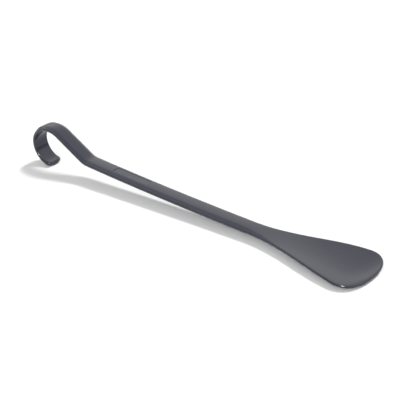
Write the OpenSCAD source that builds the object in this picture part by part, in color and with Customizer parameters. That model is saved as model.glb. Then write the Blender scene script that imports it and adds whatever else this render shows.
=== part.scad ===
// Long shoehorn: a hook to hang it by, a slim handle and a broad hollow blade in one moulding,
// with a plain name plate let into the handle. It lies as it does on a table, on its hook and blade.
// The side view is worked out in X and Z along the underside of the strip, in millimetres.

/* [Handle] */
// Width of the strip that makes the handle and the hook
strip_w = 14; // [12:0.5:18]
// Height of the strip's two side walls
side_h = 2.8; // [2.4:0.1:3.4]
// Radius of the strip's long edges
edge_r = 0.95; // [0.5:0.05:1.1]
// Width of the raised band along the middle of the strip
band_w = 8.8; // [7.6:0.1:9.6]
// Height of the raised band's edges over the side walls
band_rise = 1.2; // [0.6:0.1:1.6]
// Height of the raised band's middle over its edges
band_crown = 0.2; // [0:0.05:0.4]
// Length of the straight-looking handle from the bend to the start of the blade
handle_l = 152.5; // [120:0.5:260]
// Radius of the handle's slight upward bow
bow_r = 3720; // [2500:10:8000]

/* [Hook] */
// How far the hook's arm turns up from the handle, in degrees
arm_angle = 26.5; // [20:0.5:35]
// Radius of the underside where the arm turns up
bend_r = 17.7; // [12:0.1:24]
// Length of the arm's straight part
arm_l = 28.3; // [20:0.1:40]
// Inner radius of the hook over its top
top_r = 20.4; // [17:0.1:24]
// Turn of the hook over its top, in degrees
top_sweep = 80; // [70:1:90]
// Inner radius of the seat that hangs on a rail
seat_r = 13.6; // [11:0.1:16]
// Turn of the seat, in degrees
seat_sweep = 122; // [112:1:128]
// Length of the straight lip at the hook's end, and radius of its two corners
lip_l = 3; // [1.5:0.1:4]

/* [Blade] */
// Length of the blade
blade_l = 110; // [80:1:150]
// Half width that the flare leads up to
flare_half_w = 24.7; // [18:0.1:28]
// Share of the blade where the flare starts
flare_from = 0.07; // [0:0.01:0.15]
// Share of the blade where the flare would end
flare_to = 0.965; // [0.9:0.005:1]
// Share of the blade where its rounded end starts
end_from = 0.83; // [0.75:0.01:0.88]
// Squareness of the rounded end, where 2 is an ellipse
end_power = 2.35; // [2:0.05:3]
// Upward curve of the blade's edges over its length
edge_lift = 10.8; // [6:0.1:14]
// Downward curve that brings the edges back near the tip
edge_drop = 11.1; // [6:0.1:14]
// Depth of the blade's trough at its widest
trough_d = 3; // [2:0.1:6]
// Thickness of the blade's wall and rim
wall_t = 2.05; // [1.6:0.05:2.6]

/* [Name plate] */
// Distance from the bend to the name plate
plate_from = 26.6; // [15:0.1:40]
// Length of the name plate
plate_l = 35.5; // [20:0.5:60]
// Width of the name plate
plate_w = 6; // [4:0.1:6.6]
// Thickness of the name plate
plate_t = 0.7; // [0.5:0.05:1]
// How far the name plate's face lies below the handle's top
plate_sink = 0.3; // [0.1:0.05:0.5]
// Gap all round between the name plate and its pocket
plate_gap = 0.04; // [0.02:0.01:0.1]
// Number of plain slanting ribs on the name plate
rib_count = 9; // [3:1:12]
// Slant of the ribs, in degrees
rib_slant = 30; // [0:5:45]

/* [Hidden] */
$fn = 96;

edge_steps = 3;
top_steps = 6;
lip_rings = 5;
seat_rings = 16;
top_rings = 9;
bend_rings = 5;
handle_rings = 8;
blade_rings = 24;
end_rings = 12;
fine_steps = 40;
tip_half_w = 0.6;
seat_stock = 0.06;
overlap = 1;

// Powers that ease the blade's outline into its flare and into its rounded end
flare_ease = 1.09;
end_ease = 2.4;
// Shares of the blade where the raised band has sunk in, and where the rim has thinned to the wall
band_sunk_by = 0.36;
rim_thin_by = 0.5;
// Shares of the blade where the trough starts and where it has its full depth
trough_from = 0.05;
trough_to = 0.65;

rib_w = 0.9;
rib_h = 0.16;
rib_margin = 1;

strip_h = side_h + band_rise + band_crown;
plastic = [0.345, 0.35, 0.385];
plate_grey = [0.42, 0.42, 0.45];

// ---- Side view: directions and joins of the hook's path, from the bend to the lip ----

// Direction of travel at a heading, and the direction of the strip's crowned side there
function along(heading) = [cos(heading), sin(heading)];
function crown_side(heading) = [sin(heading), -cos(heading)];

arm_heading = 180 - arm_angle;
seat_heading = arm_heading + top_sweep;
lip_heading = seat_heading + seat_sweep;
bend_centre = bend_r * crown_side(180);
arm_start = bend_centre - bend_r * crown_side(arm_heading);
arm_end = arm_start + arm_l * along(arm_heading);
top_centre = arm_end - top_r * crown_side(arm_heading);
seat_start = top_centre + top_r * crown_side(seat_heading);
seat_centre = seat_start - seat_r * crown_side(seat_heading);
lip_start = seat_centre + seat_r * crown_side(lip_heading);
lip_end = lip_start + lip_l * along(lip_heading);

// ---- Side view: the handle and the blade, at a distance x from the bend ----

function smooth(s) = let (c = min(max(s, 0), 1)) c * c * (3 - 2 * c);
function mix(a, b, s) = a + (b - a) * s;
function bow_height(x) = x * x / (2 * bow_r);

// Height of the blade's rims above the handle's, at a share u of the blade's length
function rim_height(u) =
    bow_height(handle_l) + u * blade_l * handle_l / bow_r + edge_lift * pow(u, 2) - edge_drop * pow(u, 3);

// Half width of the blade
function flare(u) =
    mix(strip_w / 2, flare_half_w, pow(smooth((u - flare_from) / (flare_to - flare_from)), flare_ease));
function end_round(u) =
    let (e = min(max((u - end_from) / (1 - end_from), 0), 1)) pow(1 - pow(e, end_ease), 1 / end_power);
function half_width(u) = max(flare(u) * end_round(u), tip_half_w);

// The raised band sinks into the blade's trough over the first part of the blade
function hollow(u) = smooth(u / band_sunk_by);
function trough(u) =
    trough_d * smooth((u - trough_from) / (trough_to - trough_from)) * pow(half_width(u) / flare_half_w, 2);
function rim_thickness(u) = mix(side_h, wall_t, smooth(u / rim_thin_by));

// ---- Cross-sections, as [across, up] from the middle of the underside ----

function arc_points(across, up, r, from, to) =
    [for (i = [0 : edge_steps])
        let (a = mix(from, to, i / edge_steps))
            [across + r * cos(a), up + r * sin(a)]];

// One half, from the middle of the top round the rim to the middle of the underside.
// The rim's two rounded edges shrink where the section is too thin or too narrow for them.
function half_section(half_w, side, band_half, rise, crown, belly) =
    let (r = min(edge_r, side * 0.48, half_w * 0.5))
    let (inner = min(band_half, half_w - r * 1.1))
    concat(
        [for (i = [0 : top_steps])
            let (s = i / top_steps)
                [inner * s, side + rise + crown * (1 - s * s)]],
        arc_points(half_w - r, side - r, r, 90, 0),
        arc_points(half_w - r, r, r, 0, -90),
        [for (i = [top_steps - 1 : -1 : 0])
            let (s = i / top_steps)
                [(half_w - r) * s, belly * (1 - s * s)]]
    );

function mirrored(points) = [for (i = [len(points) - 2 : -1 : 1]) [-points[i][0], points[i][1]]];
function closed(half) = concat(half, mirrored(half));

// The strip's section, with stock left on its underside
function strip_section(half_w, stock) =
    let (band_half = band_w / 2 * half_w / (strip_w / 2))
    let (half = half_section(half_w, side_h + stock, band_half, band_rise, band_crown, 0))
        [for (p = closed(half)) [p[0], p[1] - stock]];

function blade_section(u) =
    let (side = rim_thickness(u))
    let (sunk = hollow(u))
    let (rise = mix(band_rise, 0, sunk))
    let (crown = mix(band_crown, 0, sunk) - trough(u))
    let (thickness = mix(strip_h, side, sunk))
    let (band_half = mix(band_w / 2, half_width(u) - edge_r, sunk))
        closed(half_section(half_width(u), side, band_half, rise, crown, side + rise + crown - thickness));

// ---- Resting pose: the pitch at which the hook and the blade's belly both touch the table ----

function turned(p, a) = [p[0] * cos(a) + p[1] * sin(a), p[1] * cos(a) - p[0] * sin(a)];
function lowest(points, a) = min([for (p = points) turned(p, a)[1]]);

hook_outline = concat(
    [for (i = [0 : fine_steps])
        seat_centre + (seat_r + strip_h) * crown_side(mix(seat_heading, lip_heading, i / fine_steps))],
    [lip_end + strip_h * crown_side(lip_heading)]
);
belly_outline =
    [for (i = [0 : fine_steps])
        let (u = i / fine_steps)
        let (middle = blade_section(u)[len(blade_section(u)) / 2])
            [handle_l + u * blade_l, rim_height(u) + middle[1]]];
rest_span = handle_l + blade_l;

function levelled(a, rounds) =
    rounds == 0 ? a
    : levelled(a + atan((lowest(belly_outline, a) - lowest(hook_outline, a)) / rest_span), rounds - 1);

pitch = levelled(0, 8);
tip_corner = [handle_l + blade_l, rim_height(1) + rim_thickness(1)];
back_x = min([for (p = hook_outline) turned(p, pitch)[0]]);
front_x = turned(tip_corner, pitch)[0];
table_z = lowest(belly_outline, pitch);

// Puts the part's side view into its resting pose, with the origin under the middle of its box
module rest_pose() {
    translate([-(back_x + front_x) / 2, 0, -table_z])
        rotate([0, pitch, 0])
            children();
}

// ---- Solids ----

// The whole moulding is one sweep: a ring of points at each station from the lip to the tip of the blade
function ring(points, place, heading) =
    [for (p = points) let (q = place + p[1] * crown_side(heading)) [q[0], p[0], q[1]]];

function lip_stretch() =
    [for (i = [0 : lip_rings])
        let (a = 90 * i / lip_rings)
        let (half_w = strip_w / 2 - lip_l * (1 - sin(a)))
            ring(strip_section(half_w, seat_stock), lip_start + lip_l * cos(a) * along(lip_heading), lip_heading)];

// An arc's rings, where first is 1 if the stretch before it ends with the arc's own first ring
function arc_stretch(centre, r, from, to, count, first, stock) =
    [for (i = [first : count])
        let (heading = mix(from, to, i / count))
            ring(strip_section(strip_w / 2, stock), centre + r * crown_side(heading), heading)];

function handle_stretch() =
    [for (i = [1 : handle_rings])
        let (x = handle_l * i / handle_rings)
            ring(strip_section(strip_w / 2, 0), [x, bow_height(x)], 180)];

function blade_shares() = concat(
    [for (i = [1 : blade_rings]) end_from * i / blade_rings],
    [for (i = [1 : end_rings]) mix(end_from, 1, sin(90 * i / end_rings))]
);

function blade_stretch() =
    [for (u = blade_shares()) ring(blade_section(u), [handle_l + u * blade_l, rim_height(u)], 180)];

module sweep(rings) {
    n = len(rings[0]);
    last = (len(rings) - 1) * n;
    sides = [for (i = [0 : len(rings) - 2], j = [0 : n - 1])
        let (k = (j + 1) % n)
            each [[i * n + j, (i + 1) * n + k, (i + 1) * n + j], [i * n + j, i * n + k, (i + 1) * n + k]]];
    start_cap = [[for (j = [n - 1 : -1 : 0]) j]];
    end_cap = [[for (j = [0 : n - 1]) last + j]];
    polyhedron(points = [for (ring = rings, p = ring) p], faces = concat(sides, start_cap, end_cap));
}

module moulding() {
    sweep(concat(
        lip_stretch(),
        arc_stretch(seat_centre, seat_r, lip_heading, seat_heading, seat_rings, 1, seat_stock),
        arc_stretch(top_centre, top_r, seat_heading, arm_heading, top_rings, 1, 0),
        arc_stretch(bend_centre, -bend_r, arm_heading, 180, bend_rings, 0, 0),
        handle_stretch(),
        blade_stretch()
    ));
}

// The seat's inner wall is a true cylinder, which takes off the stock left on the sweep
module seat_bore() {
    translate([seat_centre[0], 0, seat_centre[1]])
        rotate([90, 0, 0])
            cylinder(h = strip_w + 2 * overlap, r = seat_r, center = true);
}

// Places a child on the handle's top at the name plate, with Z square to the handle there
module at_plate() {
    middle_x = plate_from + plate_l / 2;
    translate([middle_x, 0, bow_height(middle_x) + strip_h - plate_sink])
        rotate([0, -atan(middle_x / bow_r), 0])
            children();
}

module plate_pocket() {
    at_plate()
        translate([-plate_l / 2 - plate_gap, -plate_w / 2 - plate_gap, -plate_t])
            cube([plate_l + 2 * plate_gap, plate_w + 2 * plate_gap, plate_t + overlap]);
}

module shoehorn_body() {
    color(plastic)
        rest_pose()
            difference() {
                moulding();
                seat_bore();
                plate_pocket();
            }
}

module rib() {
    rib_l = (plate_w - 2 * rib_margin) / cos(rib_slant);
    rotate([0, 0, -rib_slant])
        translate([-rib_w / 2, -rib_l / 2, -overlap / 4])
            cube([rib_w, rib_l, rib_h + overlap / 4]);
}

module name_plate() {
    pitch_of_ribs = plate_l / (rib_count + 1);
    color(plate_grey)
        rest_pose()
            at_plate() {
                translate([-plate_l / 2, -plate_w / 2, -plate_t])
                    cube([plate_l, plate_w, plate_t]);
                for (i = [1 : rib_count])
                    translate([i * pitch_of_ribs - plate_l / 2, 0, 0])
                        rib();
            }
}

shoehorn_body();
name_plate();
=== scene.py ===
# A long shoehorn lying on a white table: a hook, a slim banded handle and a broad hollow blade in one
# glossy moulding, with a satin name plate let into the handle.
# Shapes are worked out in the moulding's own side view, in millimetres, with the bend at the origin and
# the handle along +X, and then laid on the table in metres, in the frame's axes.
from collections import namedtuple
from math import atan2, cos, pi, radians, sin, tan

import bmesh
import bpy
from mathutils import Matrix, Vector


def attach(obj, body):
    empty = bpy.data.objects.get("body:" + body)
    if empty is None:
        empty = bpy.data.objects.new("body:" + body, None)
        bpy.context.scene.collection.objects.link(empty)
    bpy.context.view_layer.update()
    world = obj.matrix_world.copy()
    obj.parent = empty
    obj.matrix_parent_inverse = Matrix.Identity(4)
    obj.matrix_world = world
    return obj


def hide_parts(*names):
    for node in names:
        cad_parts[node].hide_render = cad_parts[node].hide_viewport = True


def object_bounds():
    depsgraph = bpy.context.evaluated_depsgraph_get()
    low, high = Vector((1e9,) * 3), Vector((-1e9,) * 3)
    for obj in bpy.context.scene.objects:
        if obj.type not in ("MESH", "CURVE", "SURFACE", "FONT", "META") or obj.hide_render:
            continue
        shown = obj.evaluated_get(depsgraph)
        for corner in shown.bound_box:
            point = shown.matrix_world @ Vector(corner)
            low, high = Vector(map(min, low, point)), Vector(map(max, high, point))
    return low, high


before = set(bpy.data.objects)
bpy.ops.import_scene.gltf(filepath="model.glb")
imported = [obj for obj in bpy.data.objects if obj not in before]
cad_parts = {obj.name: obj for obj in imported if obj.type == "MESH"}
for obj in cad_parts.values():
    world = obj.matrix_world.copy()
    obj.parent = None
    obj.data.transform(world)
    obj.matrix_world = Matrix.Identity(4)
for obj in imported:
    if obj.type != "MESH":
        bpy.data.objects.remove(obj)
cad_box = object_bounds()

MM = 0.001

# ---- Sizes, in millimetres, as in the CAD model ----

STRIP_W = 14.0
SIDE_H = 2.8
EDGE_R = 0.95
BAND_W = 8.8
BAND_RISE = 1.2
BAND_CROWN = 0.2
STRIP_H = SIDE_H + BAND_RISE + BAND_CROWN
HANDLE_L = 152.5
BOW_R = 3720.0

ARM_ANGLE = 26.5
BEND_R = 17.7
ARM_L = 28.3
TOP_R = 20.4
TOP_SWEEP = 80.0
SEAT_R = 13.6
SEAT_SWEEP = 122.0
LIP_L = 3.0

BLADE_L = 110.0
FLARE_HALF_W = 24.7
FLARE_FROM = 0.07
FLARE_TO = 0.965
FLARE_EASE = 1.09
END_FROM = 0.83
END_EASE = 2.4
END_POWER = 2.35
EDGE_LIFT = 10.8
EDGE_DROP = 11.1
TROUGH_D = 3.0
TROUGH_FROM = 0.05
TROUGH_TO = 0.65
BAND_SUNK_BY = 0.36
RIM_THIN_BY = 0.5
WALL_T = 2.05

PLATE_FROM = 26.6
PLATE_L = 35.5
PLATE_W = 6.0
PLATE_T = 0.7
PLATE_SINK = 0.3
PLATE_GAP = 0.04
RIB_COUNT = 9
RIB_SLANT = 30.0
RIB_W = 0.9
RIB_H = 0.16
RIB_MARGIN = 1.0
RIB_PITCH = PLATE_L / (RIB_COUNT + 1)

# Finish that the CAD model leaves out: small radii along the band, at the foot of its shoulders, round the
# name plate and along its ribs, and a little draft on the plate's pocket
BAND_EDGE_EASE = 0.45
SHOULDER_EASE = 0.25
PLATE_EDGE = 0.18
RIB_EASE = 0.16
POCKET_DRAFT = 0.06

# The shoulder beside the band keeps this width, or this share of a narrow ring, and an easing takes up to
# MOST_EASED of it. Each quarter of a rounded rim takes up to MOST_ROUNDED of the wall's height
LEAST_SHOULDER = 0.3
LEAST_SHOULDER_SHARE = 0.1
MOST_EASED = 0.45
MOST_ROUNDED = 0.48

# The two columns at the pocket's edge run on along the blade, the first at POCKET_SPREAD of the band's width
# and the second WALL_SPREAD of it further out
POCKET_SPREAD = 0.8
WALL_SPREAD = 0.1

# ---- Wear ----

# The rubbed stretch of each rounding as shares of its radius or height, and how worn the band's edge is,
# until it has sunk by BAND_WORN_UNTIL
BAND_WEAR = 0.7
BAND_WORN_UNTIL = 0.5
RIM_WORN_FROM = 0.1
RIM_WORN_TO = 0.75
RIB_WORN_FROM = 0.5
PLATE_EDGE_WORN_TO = 0.8

# ---- Fineness of the mesh and of its resting pose ----

ARC_STEPS = 6
BAND_COLUMNS = 9
EASE_COLUMNS = 4
SHOULDER_COLUMNS = 3
FLAT_COLUMNS = 2
PLATE_EDGE_STEPS = 4
LIP_RINGS = 8
SEAT_RINGS = 44
TOP_RINGS = 28
ARM_RINGS = 8
BEND_RINGS = 12
HANDLE_RING_GAP = 3.0
BLADE_RINGS = 64
TIP_RINGS = 36
MERGE = 1e-4
SHARP_ANGLE = 50.0
SETTLING_STEPS = 8

# ---- Colours and gloss ----

# Gloss is given as roughness. A share says how strongly a mark tints the plastic, and a dulling how much
# roughness it adds
DARK_TONE = (0.015, 0.0155, 0.023, 1)
LIGHT_TONE = (0.018, 0.0185, 0.027, 1)
FLECK_TONE = (0.030, 0.031, 0.040, 1)
RUBBED_TONE = (0.055, 0.057, 0.070, 1)
PLATE_DARK = (0.086, 0.088, 0.103, 1)
PLATE_LIGHT = (0.094, 0.096, 0.112, 1)
SHEEN_TINT = (0.86, 0.875, 1.0, 1)
PLASTIC_IOR = 1.5
GLOSS = 0.04
GLOSS_SPREAD = 0.03
PLATE_GLOSS = 0.42
PLATE_GLOSS_SPREAD = 0.1
PLATE_SPECULAR = 0.12
SPECKLE_SHARE = 0.18
SCRATCH_SHARE = 0.14
RUBBED_SHARE = 0.3
PLATE_RUBBED_SHARE = 0.4
SMUDGE_DULLING = 0.06
RUBBED_DULLING = 0.1
TABLE_DARK = (0.9, 0.9, 0.9, 1)
TABLE_LIGHT = (0.91, 0.91, 0.91, 1)
TABLE_GLOSS = 0.85
TABLE_GLOSS_SPREAD = 0.05
TABLE_IOR = 1.3

# ---- Table, lights and camera, in metres, degrees and watts ----

TABLE_SPAN = 6.0

# The main light, which throws the shadow
SUN_FROM = Vector((0.24, 0.57, 1.0))
SUN_POWER = 2.2
SUN_SPREAD = 13.0

# The sky lights the table with SKY_POWER. In reflections it has other levels: it fades from the horizon to
# the zenith, both are darker in front, towards -Y, and a haze darkens it just above the table
SKY_POWER = 0.465
HORIZON_HEIGHT = 0.25
ZENITH_HEIGHT = 0.8
HORIZON_SHINE = 1.55
ZENITH_SHINE = 1.45
FRONT_SHINE = 0.3
FRONT_ZENITH_SHINE = 0.95
HAZE_TOP = 0.5
HAZE_SHINE = 0.35
FRONT_FROM = -0.6
FRONT_TO = -0.2

# A soft box in front, and two small lamps as (direction, power) that only show as glints
FILL_FROM = Vector((0.35, -0.8, 0.42))
FILL_DISTANCE = 1.6
FILL_SPAN = 1.4
FILL_POWER = 20.0
GLINT_DISTANCE = 1.2
GLINT_SPAN = 0.3
GLINTS = ((Vector((0.46, -0.66, 0.6)), 24.0), (Vector((0.23, -0.2, 0.95)), 3.0))

# The camera stands in this direction from its aim, which is given from the middle of the model's foot
CAMERA_AZIMUTH = -46.55
CAMERA_ELEVATION = 28.6
CAMERA_ROLL = -5.16
CAMERA_DISTANCE = 0.7434
CAMERA_AIM = Vector((0.0073, 0.0089, 0.0082))
CAMERA_LENS = 90.0


# ---- Side view ----

def along(heading):
    """Direction of travel at a heading in degrees, from the blade to the lip."""
    return Vector((cos(radians(heading)), 0, sin(radians(heading))))


def crown_side(heading):
    """Direction of the strip's crowned side at a heading."""
    return Vector((sin(radians(heading)), 0, -cos(radians(heading))))


ARM_HEADING = 180 - ARM_ANGLE
SEAT_HEADING = ARM_HEADING + TOP_SWEEP
LIP_HEADING = SEAT_HEADING + SEAT_SWEEP
BEND_CENTRE = BEND_R * crown_side(180)
ARM_START = BEND_CENTRE - BEND_R * crown_side(ARM_HEADING)
ARM_END = ARM_START + ARM_L * along(ARM_HEADING)
TOP_CENTRE = ARM_END - TOP_R * crown_side(ARM_HEADING)
SEAT_START = TOP_CENTRE + TOP_R * crown_side(SEAT_HEADING)
SEAT_CENTRE = SEAT_START - SEAT_R * crown_side(SEAT_HEADING)
LIP_START = SEAT_CENTRE + SEAT_R * crown_side(LIP_HEADING)
TO_TIP = Vector((1, 0, 0))
UPWARD = Vector((0, 0, 1))


def clamp(value):
    return min(max(value, 0.0), 1.0)


def smooth(value):
    value = clamp(value)
    return value * value * (3 - 2 * value)


def mix(a, b, share):
    return a + (b - a) * share


def bow_height(x):
    """Height of the handle's slight bow at a distance from the bend."""
    return x * x / (2 * BOW_R)


def rim_height(u):
    """Height of the blade's rims at a share u of the blade's length."""
    straight = bow_height(HANDLE_L) + u * BLADE_L * HANDLE_L / BOW_R
    return straight + EDGE_LIFT * u ** 2 - EDGE_DROP * u ** 3


def half_width(u):
    """Half width of the blade, which stays inside the CAD model's box."""
    flared = smooth((u - FLARE_FROM) / (FLARE_TO - FLARE_FROM)) ** FLARE_EASE
    end = clamp((u - END_FROM) / (1 - END_FROM))
    rounding = (1 - end ** END_EASE) ** (1 / END_POWER)
    widest = cad_box[1].y / MM
    return min(mix(STRIP_W / 2, FLARE_HALF_W, flared) * rounding, widest)


# ---- Cross-sections ----

# half_w, side and band_half are the half width, the height of the side walls and the half width of the
# band; rise is the band's height at its edges and crown what its middle adds; belly is the height of the
# underside's middle; sunk is how far the band has sunk into the blade, from 0 to 1
Section = namedtuple("Section", "half_w side band_half rise crown belly sunk")


def strip_section(half_w):
    """The plain strip of the hook and the handle, narrower only at the lip's corners."""
    band_half = BAND_W / 2 * half_w / (STRIP_W / 2)
    return Section(half_w, SIDE_H, band_half, BAND_RISE, BAND_CROWN, 0.0, 0.0)


def blade_section(u):
    """The band sinks into the trough over the first part of the blade, and the rims grow thinner."""
    half_w = half_width(u)
    sunk = smooth(u / BAND_SUNK_BY)
    side = mix(SIDE_H, WALL_T, smooth(u / RIM_THIN_BY))
    deepened = smooth((u - TROUGH_FROM) / (TROUGH_TO - TROUGH_FROM))
    depth = TROUGH_D * deepened * (half_w / FLARE_HALF_W) ** 2
    rise = mix(BAND_RISE, 0, sunk)
    crown = mix(BAND_CROWN, 0, sunk) - depth
    thickness = mix(STRIP_H, side, sunk)
    band_half = mix(BAND_W / 2, half_w - EDGE_R, sunk)
    return Section(half_w, side, band_half, rise, crown, side + rise + crown - thickness, sunk)


def band_limit(section, inner):
    """Half width of the band, which always leaves a narrow shoulder."""
    return min(section.band_half, inner - min(LEAST_SHOULDER, inner * LEAST_SHOULDER_SHARE))


def easings(section, inner):
    """Half widths of the two easings, at the band's edge and at the foot of its shoulder."""
    most = (inner - band_limit(section, inner)) * MOST_EASED
    return min(BAND_EDGE_EASE, most), min(SHOULDER_EASE, most)


def sharp_top(section, inner, y):
    """Height of the top face before its corners are eased, inner being where the rounded rim begins."""
    band = band_limit(section, inner)
    if y <= band:
        return section.side + section.rise + section.crown * (1 - (y / band) ** 2)
    if y <= inner:
        return section.side + section.rise * (inner - y) / (inner - band)
    drop = EDGE_R - (EDGE_R ** 2 - min(y - inner, EDGE_R) ** 2) ** 0.5
    return section.side - drop


def top_height(section, inner, y):
    """Height of the top face, its corners eased with short parabolas."""
    band = band_limit(section, inner)
    ease, foot = easings(section, inner)
    for corner, reach in ((band, ease), (inner, foot)):
        if abs(y - corner) < reach:
            t = (y - corner + reach) / (2 * reach)
            spots = (corner - reach, corner, corner + reach)
            before, middle, after = (sharp_top(section, inner, spot) for spot in spots)
            return (1 - t) ** 2 * before + 2 * t * (1 - t) * middle + t ** 2 * after
    return sharp_top(section, inner, y)


def steps(start, end, count):
    """Count values from just after start up to end."""
    return [mix(start, end, i / count) for i in range(1, count + 1)]


def columns(section, inner):
    """Distances from the middle at which the top face has its points, out to where the rim begins."""
    band = band_limit(section, inner)
    ease, foot = easings(section, inner)
    scale = inner / (STRIP_W / 2 - EDGE_R)
    pocket = mix((PLATE_W / 2 + PLATE_GAP) * scale, (band - ease) * POCKET_SPREAD, section.sunk)
    wall = pocket + mix(POCKET_DRAFT * scale, (band - ease) * WALL_SPREAD, section.sunk)
    return (
        [0.0]
        + steps(0, pocket, BAND_COLUMNS)
        + [wall]
        + steps(wall, band - ease, FLAT_COLUMNS)
        + steps(band - ease, band + ease, EASE_COLUMNS)
        + steps(band + ease, inner - foot, SHOULDER_COLUMNS)
        + steps(inner - foot, inner, FLAT_COLUMNS)
    )


# Which of these columns ends the pocket's floor, and which lie on the band's eased edge. The column on the
# pocket's wall and the flat ones come between
POCKET_COLUMN = BAND_COLUMNS
EDGE_START = POCKET_COLUMN + 1 + FLAT_COLUMNS + 1
BAND_EDGE_COLUMNS = range(EDGE_START, EDGE_START + EASE_COLUMNS)


def rim_chain(side):
    """The rounded rim from top to bottom, as (distance in from the outline, height) pairs."""
    radius = min(EDGE_R, side * MOST_ROUNDED)
    quarter = [pi / 2 * i / ARC_STEPS for i in range(ARC_STEPS + 1)]
    upper = [(radius * (1 - sin(a)), side - radius * (1 - cos(a))) for a in quarter]
    lower = [(radius * (1 - cos(a)), radius * (1 - sin(a))) for a in quarter]
    return upper[1:] + lower[:-1]


def rim_wear(inset):
    """How worn the rounded rim is at a distance in from the outline."""
    return 1.0 if RIM_WORN_FROM * EDGE_R < inset < RIM_WORN_TO * EDGE_R else 0.0


# ---- The sweep ----

# A station holds one ring. The outline there faces sideways, or leans towards ahead by an angle in radians,
# up to a right angle at an end. travel is the distance along the strip from where the lip meets the seat
Station = namedtuple("Station", "place ahead up section lean travel in_pocket")


def point_at(station, y, inset, height):
    """A point across the strip, set back from the outline by inset where the outline leans ahead."""
    back = inset * sin(station.lean)
    return station.place - station.ahead * back + station.up * height + Vector((0, y, 0))


def half_ring(station):
    """Half a ring from the middle of the top round the rim to the middle of the underside.
    Each entry is (place, how worn the spot is, distance round the section)."""
    section = station.section
    inner = max(section.half_w - EDGE_R * cos(station.lean), 0.0)
    spread = columns(section, inner)
    ring = []
    for i, y in enumerate(spread):
        height = top_height(section, inner, y)
        if station.in_pocket and i <= POCKET_COLUMN:
            height = STRIP_H - PLATE_SINK - PLATE_T
        on_edge = i in BAND_EDGE_COLUMNS and section.sunk < BAND_WORN_UNTIL
        worn = BAND_WEAR if on_edge else 0.0
        ring.append((point_at(station, y, EDGE_R, height), worn, y))
    foot = easings(section, inner)[1] if inner else 0.0
    for inset, height in rim_chain(section.side):
        past = EDGE_R - inset
        if height > section.side / 2 and past < foot:
            height = top_height(section, inner, inner + past)
        y = max(section.half_w - inset * cos(station.lean), 0.0)
        way = inner + past + section.side - height
        ring.append((point_at(station, y, inset, height), rim_wear(inset), way))
    for y in reversed(spread):
        height = section.belly * (1 - (y / inner) ** 2) if inner else 0.0
        ring.append((point_at(station, y, EDGE_R, height), 0.0, 2 * inner + section.side - y))
    return ring


def hook_station(place, heading, travel):
    """A station of the plain strip anywhere from the bend to the start of the lip."""
    section = strip_section(STRIP_W / 2)
    return Station(place, along(heading), crown_side(heading), section, 0.0, travel, False)


def arc_stations(centre, radius, start, end, count, travel, with_first):
    """Stations round an arc of the hook. Returns them with the distance travelled at its end."""
    length = abs(radius * radians(end - start))
    found = []
    for i in range(0 if with_first else 1, count + 1):
        heading = mix(start, end, i / count)
        place = centre + radius * crown_side(heading)
        found.append(hook_station(place, heading, travel + length * i / count))
    return found, travel + length


def lip_stations():
    """The lip's two rounded corners, seen from above, from its straight end back to the hook's seat."""
    ahead = along(LIP_HEADING)
    up = crown_side(LIP_HEADING)
    found = []
    for i in range(LIP_RINGS):
        lean = pi / 2 * (1 - i / LIP_RINGS)
        half_w = STRIP_W / 2 - LIP_L * (1 - cos(lean))
        reach = LIP_L * sin(lean)
        place = LIP_START + reach * ahead
        found.append(Station(place, ahead, up, strip_section(half_w), lean, -reach, False))
    return found


def arm_stations(travel):
    """The arm's straight part, between its two arcs."""
    found = []
    for i in range(1, ARM_RINGS):
        place = mix(ARM_END, ARM_START, i / ARM_RINGS)
        found.append(hook_station(place, ARM_HEADING, travel + ARM_L * i / ARM_RINGS))
    return found, travel + ARM_L


def handle_positions():
    """Distances along the handle of its rings, with a pair of rings at each end of the pocket."""
    pocket_start = PLATE_FROM - PLATE_GAP
    pocket_end = PLATE_FROM + PLATE_L + PLATE_GAP
    stops = [0.0, pocket_start - POCKET_DRAFT, pocket_start]
    stops += [pocket_end, pocket_end + POCKET_DRAFT, HANDLE_L]
    found = []
    for start, end in zip(stops, stops[1:]):
        found += steps(start, end, max(1, round((end - start) / HANDLE_RING_GAP)))
    return found, pocket_start, pocket_end


def handle_stations(travel):
    """The handle, from the bend to the start of the blade."""
    positions, pocket_start, pocket_end = handle_positions()
    section = strip_section(STRIP_W / 2)
    found = []
    for x in positions:
        in_pocket = pocket_start - MERGE <= x <= pocket_end + MERGE
        place = Vector((x, 0, bow_height(x)))
        found.append(Station(place, TO_TIP, UPWARD, section, 0.0, travel + x, in_pocket))
    return found, travel + HANDLE_L


def outline_lean(u):
    """How far the blade's outline leans towards its tip at a share u."""
    nudge = 1e-4
    run = BLADE_L * 2 * nudge
    fall = half_width(max(u - nudge, 0)) - half_width(min(u + nudge, 1))
    return max(atan2(fall, run), 0.0) if u < 1 - nudge else pi / 2


def blade_stations(travel):
    """The blade, with its rings closer together round its tip."""
    shares = steps(0, END_FROM, BLADE_RINGS)
    turns = steps(0, pi / 2, TIP_RINGS)
    shares += [mix(END_FROM, 1, sin(turn) ** (2 / END_EASE)) for turn in turns]
    found = []
    for u in shares:
        place = Vector((HANDLE_L + u * BLADE_L, 0, rim_height(u)))
        where = travel + u * BLADE_L
        found.append(Station(place, TO_TIP, UPWARD, blade_section(u), outline_lean(u), where, False))
    return found


def all_stations():
    """Every station from the lip to the tip of the blade."""
    found = lip_stations()
    seat, travel = arc_stations(SEAT_CENTRE, SEAT_R, LIP_HEADING, SEAT_HEADING, SEAT_RINGS, 0.0, True)
    top, travel = arc_stations(TOP_CENTRE, TOP_R, SEAT_HEADING, ARM_HEADING, TOP_RINGS, travel, False)
    arm, travel = arm_stations(travel)
    bend, travel = arc_stations(BEND_CENTRE, -BEND_R, ARM_HEADING, 180, BEND_RINGS, travel, True)
    handle, travel = handle_stations(travel)
    return found + seat + top + arm + bend + handle + blade_stations(travel)


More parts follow.
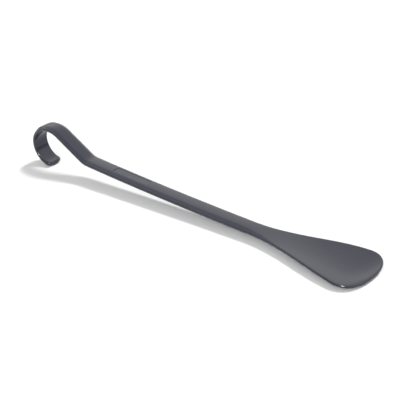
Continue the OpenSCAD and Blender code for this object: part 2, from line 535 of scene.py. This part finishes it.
def whole_ring(station):
    """Both halves of a ring, with the points on the two middle lines used once."""
    half = half_ring(station)
    other = [(Vector((p.x, -p.y, p.z)), worn, -way) for p, worn, way in reversed(half[1:-1])]
    return half + other


def ring_parts(ring, count, rim_count):
    """The near and the far half of a ring as (side, top, underside, rim), each from the middle outwards."""
    past_rim = count + rim_count
    top = ring[:count]
    rim = ring[count:past_rim]
    under = list(reversed(ring[past_rim:past_rim + count]))
    far_top = [ring[0]] + list(reversed(ring[1 - count:]))
    far_rim = list(reversed(ring[1 - past_rim:1 - count]))
    far_under = [under[0]] + ring[past_rim + count:past_rim + 2 * count - 1]
    return (1, top, under, rim), (-1, far_top, far_under, far_rim)


def cap_column(bm, station, y, lift, layers):
    """New points down the lip's rounded end. The upper quarter is lifted as the top face is there."""
    column = []
    for i, (inset, height) in enumerate(rim_chain(station.section.side)):
        place = point_at(station, y, inset, height)
        if i < ARC_STEPS:
            place += station.up * lift
        vertex = bm.verts.new(place)
        vertex[layers["worn"]] = rim_wear(inset)
        vertex[layers["flow"]] = Vector((station.travel * MM, y * MM, 0))
        column.append(vertex)
    return column


def lip_cap(bm, station, ring, layers):
    """Rounds the lip's straight end over, joining the end ring's top face to its underside."""
    side = station.section.side
    inner = station.section.half_w - EDGE_R * cos(station.lean)
    spread = columns(station.section, inner)
    lifts = []
    for y, (place, _, _) in zip(spread, half_ring(station)):
        lifts.append((place - point_at(station, y, EDGE_R, side)).dot(station.up))
    middle = cap_column(bm, station, 0.0, lifts[0], layers)
    for hand, top, under, rim in ring_parts(ring, len(spread), len(middle)):
        between = []
        for y, lift in zip(spread[1:-1], lifts[1:-1]):
            between.append(cap_column(bm, station, hand * y, lift, layers))
        chains = [middle] + between + [rim]
        across = [[high] + chain + [low] for high, chain, low in zip(top, chains, under)]
        for first, second in zip(across, across[1:]):
            for face in zip(first, first[1:], second[1:], second):
                bm.faces.new(face)


def sweep(stations):
    """One closed mesh through every station's ring, still in the side view's own millimetres."""
    bm = bmesh.new()
    layers = {
        "worn": bm.verts.layers.float.new("worn"),
        "flow": bm.verts.layers.float_vector.new("flow"),
    }
    rings = []
    for station in stations:
        ring = []
        for place, worn, way in whole_ring(station):
            vertex = bm.verts.new(place)
            vertex[layers["worn"]] = worn
            vertex[layers["flow"]] = Vector((station.travel * MM, way * MM, 0))
            ring.append(vertex)
        rings.append(ring)
    for first, second in zip(rings, rings[1:]):
        for face in zip(first, first[1:] + first[:1], second[1:] + second[:1], second):
            bm.faces.new(face)
    lip_cap(bm, stations[0], rings[0], layers)
    bmesh.ops.remove_doubles(bm, verts=bm.verts, dist=MERGE)
    bmesh.ops.recalc_face_normals(bm, faces=bm.faces)
    return bm


# ---- Resting pose ----

def resting_place(points):
    """The turn and shift that lay the shoehorn on the table, on its hook and the belly of its blade."""
    hook = [p for p in points if p.x < 0]
    blade = [p for p in points if p.x > HANDLE_L]
    pitch = 0.0
    for _ in range(SETTLING_STEPS):
        hook_low = min(p.z * cos(pitch) - p.x * sin(pitch) for p in hook)
        blade_low = min(p.z * cos(pitch) - p.x * sin(pitch) for p in blade)
        pitch += atan2(blade_low - hook_low, HANDLE_L + BLADE_L)
    turn = Matrix.Rotation(pitch, 4, "Y")
    turned = [turn @ p for p in points]
    low, high = cad_box
    middle = (min(p.x for p in turned) + max(p.x for p in turned)) / 2
    floor = min(p.z for p in turned)
    shift = Vector(((low.x + high.x) / 2 / MM - middle, 0, low.z / MM - floor))
    return Matrix.Scale(MM, 4) @ Matrix.Translation(shift) @ turn


def finished(bm, name, node, material, placing):
    """Turns a mesh in the side view's millimetres into a piece that stands for its CAD node."""
    bmesh.ops.transform(bm, matrix=placing, verts=bm.verts)
    mesh = bpy.data.meshes.new(name)
    bm.to_mesh(mesh)
    bm.free()
    mesh.shade_smooth()
    mesh.set_sharp_from_angle(angle=radians(SHARP_ANGLE))
    mesh.materials.append(material)
    piece = bpy.data.objects.new(name, mesh)
    bpy.context.scene.collection.objects.link(piece)
    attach(piece, "root")
    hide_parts(node)


# ---- The name plate ----

def eased(inside):
    """Share of a rib's full height at a distance inside its outline."""
    return smooth((RIB_EASE + inside) / (2 * RIB_EASE))


def rib_height(x, y):
    """Height of the ribs at y on the slanted line that crosses the plate's middle at x."""
    nearest = min(max(round(x / RIB_PITCH), 1), RIB_COUNT)
    across = (x - nearest * RIB_PITCH) * cos(radians(RIB_SLANT))
    return RIB_H * eased(RIB_W / 2 - abs(across)) * eased(PLATE_W / 2 - RIB_MARGIN - abs(y))


def plate_rows():
    """Places across the plate, from one long edge to the other."""
    end = PLATE_W / 2 - RIB_MARGIN
    half = [0.0, end / 2, end - RIB_EASE]
    half += steps(end - RIB_EASE, end + RIB_EASE, EASE_COLUMNS)
    half.append(PLATE_W / 2 - PLATE_EDGE)
    for turn in steps(0, pi / 2, PLATE_EDGE_STEPS):
        half.append(PLATE_W / 2 - PLATE_EDGE * (1 - sin(turn)))
    return [-y for y in reversed(half[1:])] + half


def plate_columns():
    """Places along the plate as (distance from its start on the middle line, share of the ribs' slant)."""
    rounded = [PLATE_EDGE * (1 - cos(turn)) for turn in [0.0] + steps(0, pi / 2, PLATE_EDGE_STEPS)]
    start = [(x, 0.0) for x in rounded]
    outer = -RIB_W / 2 - RIB_EASE
    offsets = [outer] + steps(outer, -RIB_W / 2 + RIB_EASE, EASE_COLUMNS) + [0.0]
    offsets += [-offset for offset in reversed(offsets[:-1])]
    ribs = []
    for i in range(1, RIB_COUNT + 1):
        ribs += [(i * RIB_PITCH + offset / cos(radians(RIB_SLANT)), 1.0) for offset in offsets]
    end = [(PLATE_L - x, 0.0) for x in reversed(rounded)]
    return start + ribs + end


def edge_drop(distance):
    """How far the plate's rounded edge has fallen at a distance from its side."""
    short = max(PLATE_EDGE - distance, 0.0)
    return PLATE_EDGE - (PLATE_EDGE ** 2 - short ** 2) ** 0.5


def plate_face(bm):
    """The plate's ribbed face with its rounded edge, as a grid of points."""
    worn = bm.verts.layers.float.new("worn")
    rows = plate_rows()
    grid = []
    for middle, slant in plate_columns():
        column = []
        for y in rows:
            x = PLATE_FROM + middle + slant * y * tan(radians(RIB_SLANT))
            rib = rib_height(middle, y) * slant
            fall = edge_drop(min(middle, PLATE_L - middle, PLATE_W / 2 - abs(y)))
            height = STRIP_H - PLATE_SINK - fall + rib
            vertex = bm.verts.new(Vector((x, y, bow_height(x) + height)))
            on_rib = rib > RIB_H * RIB_WORN_FROM
            on_edge = 0 < fall < PLATE_EDGE * PLATE_EDGE_WORN_TO
            vertex[worn] = 1.0 if on_rib or on_edge else 0.0
            column.append(vertex)
        grid.append(column)
    for first, second in zip(grid, grid[1:]):
        for face in zip(first, first[1:], second[1:], second):
            bm.faces.new(face)
    return grid


def plate_mesh():
    """The plate's face, and straight walls down to its flat back."""
    bm = bmesh.new()
    grid = plate_face(bm)
    between = grid[1:-1]
    loop = grid[0] + [column[-1] for column in between]
    loop += list(reversed(grid[-1])) + [column[0] for column in reversed(between)]
    back = []
    for vertex in loop:
        x, y, _ = vertex.co
        back.append(bm.verts.new(Vector((x, y, bow_height(x) + STRIP_H - PLATE_SINK - PLATE_T))))
    for face in zip(loop, loop[1:] + loop[:1], back[1:] + back[:1], back):
        bm.faces.new(face)
    bm.faces.new(back)
    bmesh.ops.recalc_face_normals(bm, faces=bm.faces)
    return bm


# ---- Materials ----

# The scale of a noise is in cells per metre, and the distance of a bump in metres

def plug(tree, socket, value):
    """Feeds a socket from another node's output, or sets it to a plain value."""
    if isinstance(value, bpy.types.NodeSocket):
        tree.links.new(value, socket)
    else:
        socket.default_value = value


class Nodes:
    """Short helpers to lay out one material's nodes. An input's underscores stand for spaces."""

    def __init__(self, name):
        self.material = bpy.data.materials.new(name)
        self.material.use_nodes = True
        self.tree = self.material.node_tree
        self.tree.nodes.clear()

    def add(self, kind, **inputs):
        node = self.tree.nodes.new(kind)
        for key, value in inputs.items():
            plug(self.tree, node.inputs[key.replace("_", " ")], value)
        return node

    def place(self):
        return self.add("ShaderNodeTexCoord").outputs["Object"]

    def attribute(self, name, output):
        node = self.add("ShaderNodeAttribute")
        node.attribute_name = name
        return node.outputs[output]

    def noise(self, vector, scale, detail, roughness=0.55):
        settings = {"Scale": scale, "Detail": detail, "Roughness": roughness}
        return self.add("ShaderNodeTexNoise", Vector=vector, **settings).outputs["Fac"]

    def stretched(self, vector, stretch):
        return self.add("ShaderNodeMapping", Vector=vector, Scale=stretch).outputs["Vector"]

    def levels(self, value, low=0.3, high=0.7, to_low=0.0, to_high=1.0):
        """Stretches a range of values, by default the one that a noise mostly fills."""
        ends = {"From_Min": low, "From_Max": high, "To_Min": to_low, "To_Max": to_high}
        return self.add("ShaderNodeMapRange", Value=value, **ends).outputs["Result"]

    def maths(self, operation, a, b):
        node = self.add("ShaderNodeMath")
        node.operation = operation
        plug(self.tree, node.inputs[0], a)
        plug(self.tree, node.inputs[1], b)
        return node.outputs[0]

    def blend(self, share, a, b):
        node = self.add("ShaderNodeMix")
        node.data_type = "RGBA"
        first, second = (socket for socket in node.inputs if socket.type == "RGBA")
        plug(self.tree, node.inputs["Factor"], share)
        plug(self.tree, first, a)
        plug(self.tree, second, b)
        return next(socket for socket in node.outputs if socket.type == "RGBA")

    def bump(self, height, **settings):
        return self.add("ShaderNodeBump", Height=height, **settings).outputs["Normal"]

    def surface(self, **settings):
        shader = self.add("ShaderNodeBsdfPrincipled", **settings)
        self.add("ShaderNodeOutputMaterial", Surface=shader.outputs["BSDF"])
        return self.material


def moulding_material():
    """Gloss blue-grey plastic: faint cloudiness, handling smudges, fine scratches and rubbed edges."""
    n = Nodes("gloss_moulding")
    place = n.place()
    flow = n.attribute("flow", "Vector")
    worn = n.attribute("worn", "Fac")

    cloud = n.noise(place, scale=38, detail=3)
    speckle = n.noise(place, scale=2600, detail=2)
    streaks = n.noise(n.stretched(flow, (60, 4200, 1)), scale=1, detail=2, roughness=0.7)
    scratches = n.levels(streaks, 0.66, 0.78)
    smudges = n.levels(n.noise(place, scale=110, detail=4, roughness=0.6), 0.45, 0.72)
    patchy = n.levels(n.noise(place, scale=420, detail=4, roughness=0.7), 0.35, 0.7)
    rubbed = n.maths("MULTIPLY", worn, patchy)

    colour = n.blend(n.levels(cloud), DARK_TONE, LIGHT_TONE)
    colour = n.blend(n.levels(speckle, 0.35, 0.75, to_high=SPECKLE_SHARE), colour, FLECK_TONE)
    colour = n.blend(n.maths("MULTIPLY", scratches, SCRATCH_SHARE), colour, RUBBED_TONE)
    colour = n.blend(n.maths("MULTIPLY", rubbed, RUBBED_SHARE), colour, RUBBED_TONE)

    roughness = n.levels(cloud, to_low=GLOSS, to_high=GLOSS + GLOSS_SPREAD)
    roughness = n.maths("ADD", roughness, n.maths("MULTIPLY", smudges, SMUDGE_DULLING))
    roughness = n.maths("ADD", roughness, n.maths("MULTIPLY", rubbed, RUBBED_DULLING))

    skin = n.bump(n.noise(place, scale=900, detail=2), Distance=0.00003, Strength=0.15)
    grooves = n.maths("SUBTRACT", 1.0, scratches)
    normal = n.bump(grooves, Distance=0.00001, Strength=0.3, Normal=skin)
    fixed = {"IOR": PLASTIC_IOR, "Specular_Tint": SHEEN_TINT}
    return n.surface(Base_Color=colour, Roughness=roughness, Normal=normal, **fixed)


def plate_material():
    """Satin blue-grey plastic, a little lighter, with the fine even grain of a textured mould."""
    n = Nodes("satin_plate")
    place = n.place()
    worn = n.attribute("worn", "Fac")

    grain = n.noise(place, scale=5200, detail=2)
    cloud = n.noise(place, scale=160, detail=3)
    patchy = n.levels(n.noise(place, scale=700, detail=3), 0.35, 0.7, to_low=0.2)
    rubbed = n.maths("MULTIPLY", worn, patchy)

    colour = n.blend(n.levels(cloud), PLATE_DARK, PLATE_LIGHT)
    colour = n.blend(n.maths("MULTIPLY", rubbed, PLATE_RUBBED_SHARE), colour, RUBBED_TONE)
    roughness = n.levels(grain, to_low=PLATE_GLOSS, to_high=PLATE_GLOSS + PLATE_GLOSS_SPREAD)
    normal = n.bump(grain, Distance=0.00004, Strength=0.4)
    fixed = {"IOR": PLASTIC_IOR, "Specular_IOR_Level": PLATE_SPECULAR}
    return n.surface(Base_Color=colour, Roughness=roughness, Normal=normal, **fixed)


def table_material():
    """Plain white matt table top."""
    n = Nodes("white_table")
    grain = n.noise(n.place(), scale=300, detail=3)
    colour = n.blend(n.levels(grain), TABLE_DARK, TABLE_LIGHT)
    roughness = n.levels(grain, to_low=TABLE_GLOSS, to_high=TABLE_GLOSS + TABLE_GLOSS_SPREAD)
    normal = n.bump(grain, Distance=0.00002, Strength=0.1)
    return n.surface(Base_Color=colour, Roughness=roughness, Normal=normal, IOR=TABLE_IOR)


# ---- Table, light and camera ----

def lay_table():
    """A wide table top under the shoehorn."""
    bm = bmesh.new()
    bmesh.ops.create_grid(bm, x_segments=8, y_segments=8, size=TABLE_SPAN / 2)
    mesh = bpy.data.meshes.new("table")
    bm.to_mesh(mesh)
    bm.free()
    mesh.materials.append(table_material())
    table = bpy.data.objects.new("table", mesh)
    table.location.z = cad_box[0].z
    bpy.context.scene.collection.objects.link(table)


def sky_level(tree, value, low, high, to_low, to_high):
    """A smooth step in the sky's brightness. Its end levels may be values or sockets."""
    node = tree.nodes.new("ShaderNodeMapRange")
    node.interpolation_type = "SMOOTHSTEP"
    ends = (("From Min", low), ("From Max", high), ("To Min", to_low), ("To Max", to_high))
    for key, level in (("Value", value),) + ends:
        plug(tree, node.inputs[key], level)
    return node.outputs["Result"]


def hang_sky():
    """An even sky for the table, and a graded one for the plastic to reflect."""
    world = bpy.data.worlds.new("studio")
    world.use_nodes = True
    tree = world.node_tree
    sky = tree.nodes["Background"]
    sky.inputs["Color"].default_value = (1, 1, 1, 1)
    direction = tree.nodes.new("ShaderNodeTexCoord")
    parts = tree.nodes.new("ShaderNodeSeparateXYZ")
    tree.links.new(direction.outputs["Generated"], parts.inputs["Vector"])
    depth = parts.outputs["Y"]
    height = parts.outputs["Z"]
    horizon = sky_level(tree, depth, FRONT_FROM, FRONT_TO, FRONT_SHINE, HORIZON_SHINE)
    zenith = sky_level(tree, depth, FRONT_FROM, FRONT_TO, FRONT_ZENITH_SHINE, ZENITH_SHINE)
    graded = sky_level(tree, height, HORIZON_HEIGHT, ZENITH_HEIGHT, horizon, zenith)
    shine = sky_level(tree, height, 0.0, HAZE_TOP, HAZE_SHINE, graded)
    path = tree.nodes.new("ShaderNodeLightPath")
    power = tree.nodes.new("ShaderNodeMapRange")
    power.inputs["To Min"].default_value = SKY_POWER
    tree.links.new(path.outputs["Is Glossy Ray"], power.inputs["Value"])
    tree.links.new(shine, power.inputs["To Max"])
    tree.links.new(power.outputs["Result"], sky.inputs["Strength"])
    world.cycles.sampling_method = "NONE"
    bpy.context.scene.world = world


def soft_box(name, source, distance, span, power):
    """A square area light that looks at the shoehorn from the direction source."""
    light = bpy.data.lights.new(name, "AREA")
    light.size = span
    light.energy = power
    lamp = bpy.data.objects.new(name, light)
    direction = source.normalized()
    lamp.location = (cad_box[0] + cad_box[1]) / 2 + direction * distance
    lamp.rotation_euler = direction.to_track_quat("Z", "Y").to_euler()
    bpy.context.scene.collection.objects.link(lamp)
    return lamp


def light_scene():
    """The sky, a main light from behind that throws the shadow, a front fill and two small lamps."""
    hang_sky()
    sun = bpy.data.lights.new("main_light", "SUN")
    sun.energy = SUN_POWER
    sun.angle = radians(SUN_SPREAD)
    lamp = bpy.data.objects.new("main_light", sun)
    lamp.rotation_euler = SUN_FROM.to_track_quat("Z", "Y").to_euler()
    lamp.visible_glossy = False
    bpy.context.scene.collection.objects.link(lamp)

    fill = soft_box("front_fill", FILL_FROM, FILL_DISTANCE, FILL_SPAN, FILL_POWER)
    fill.visible_glossy = False
    for i, (source, power) in enumerate(GLINTS, start=1):
        glint = soft_box(f"glint_{i}", source, GLINT_DISTANCE, GLINT_SPAN, power)
        glint.visible_diffuse = False


def place_camera():
    """The camera looks down along the shoehorn from beside its blade, turned a little on its axis."""
    low, high = cad_box
    aim = Vector(((low.x + high.x) / 2, (low.y + high.y) / 2, low.z)) + CAMERA_AIM
    azimuth, elevation, roll = (radians(a) for a in (CAMERA_AZIMUTH, CAMERA_ELEVATION, CAMERA_ROLL))
    back = Vector((cos(azimuth) * cos(elevation), sin(azimuth) * cos(elevation), sin(elevation)))
    data = bpy.data.cameras.new("camera")
    data.lens = CAMERA_LENS
    data.sensor_width = 36.0
    data.clip_start = 0.01
    data.clip_end = 50.0
    camera = bpy.data.objects.new("camera", data)
    camera.rotation_mode = "QUATERNION"
    level = back.to_track_quat("Z", "Y")
    camera.rotation_quaternion = level @ Matrix.Rotation(roll, 3, "Z").to_quaternion()
    camera.location = aim + back * CAMERA_DISTANCE
    bpy.context.scene.collection.objects.link(camera)
    bpy.context.scene.camera = camera


def build_shoehorn():
    """The two pieces, both laid down by the moulding's own resting pose."""
    body = sweep(all_stations())
    placing = resting_place([v.co.copy() for v in body.verts])
    finished(body, "shoehorn_moulding", "shoehorn_body", moulding_material(), placing)
    finished(plate_mesh(), "ribbed_name_plate", "name_plate", plate_material(), placing)


build_shoehorn()
lay_table()
light_scene()
place_camera()
bpy.context.scene.view_settings.view_transform = "Standard"
